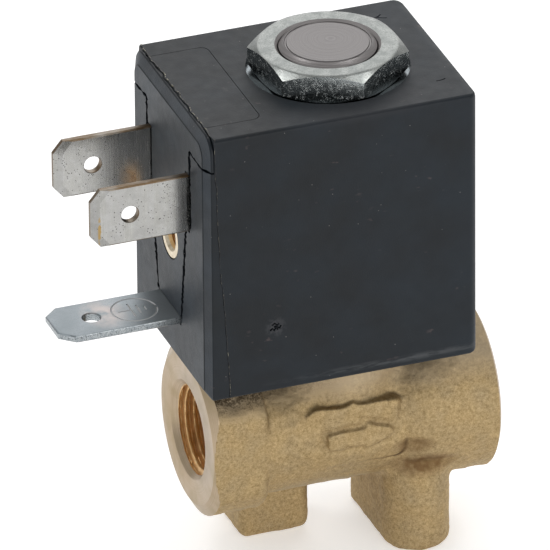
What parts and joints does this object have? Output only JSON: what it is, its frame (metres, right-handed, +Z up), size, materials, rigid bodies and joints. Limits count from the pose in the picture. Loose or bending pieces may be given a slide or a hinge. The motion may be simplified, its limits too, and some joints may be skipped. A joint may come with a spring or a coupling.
{
  "type": "solenoid valve",
  "caption": "Direct acting solenoid valve: forged brass body with two threaded ports and feet, black coil block with three flat tabs, thin hexagon nut on the guide tube.",
  "frame": {"origin": "on the axis of the guide tube, in the plane that both feet stand on", "axes": "+X the flow direction from inlet to outlet along the ports, +Z up along the guide tube, +Y completes a right-handed frame; the flow arrow is on the -Y side and the tabs point to -X"},
  "size_m": [0.0446, 0.022, 0.0556],
  "materials": {
    "forged_brass": "gritty forged, machined at the ports",
    "zinc_plated_steel": "bright zinc plated",
    "turned_steel": "turned",
    "tube_steel": "drawn",
    "copper": "copper, bare or enamelled",
    "seal_rubber": "moulded",
    "black_case": "fine moulded grain",
    "bobbin_nylon": "natural nylon",
    "winding_wrap": "polyester tape",
    "tinned_brass": "tinned, brass at the cut edges",
    "insert_brass": "turned"
  },
  "bodies": {
    "valve": {"valve_body": "forged_brass", "tube_gland": "turned_steel", "tube_o_ring": "seal_rubber", "guide_tube": "tube_steel", "fixed_core": "turned_steel", "shading_ring": "copper", "retaining_nut": "zinc_plated_steel"},
    "plunger": {"plunger": "turned_steel", "seat_seal": "seal_rubber", "plunger_spring": "tube_steel"},
    "coil": {"coil_overmould": "black_case", "terminal_block": "black_case", "bobbin": "bobbin_nylon", "coil_winding": "copper", "winding_tape": "winding_wrap", "yoke_frame": "zinc_plated_steel", "live_tab_rear": "tinned_brass", "live_tab_front": "tinned_brass", "earth_tab": "zinc_plated_steel", "connector_screw_insert": "insert_brass", "winding_lead_rear": "copper", "winding_lead_front": "copper"}
  },
  "joints": [
    {"name": "plunger_lift", "type": "slide", "parent": "valve", "child": "plunger", "axis": [0, 0, 1], "range_m": [0, 0.0015], "stiffness_N_per_m": 500, "springref_m": -0.004, "deforming": ["plunger_spring"]},
    {"name": "coil_swivel", "type": "hinge", "parent": "valve", "child": "coil", "pos_m": [0, 0, 0.038], "axis": [0, 0, 1], "continuous": true}
  ]
}
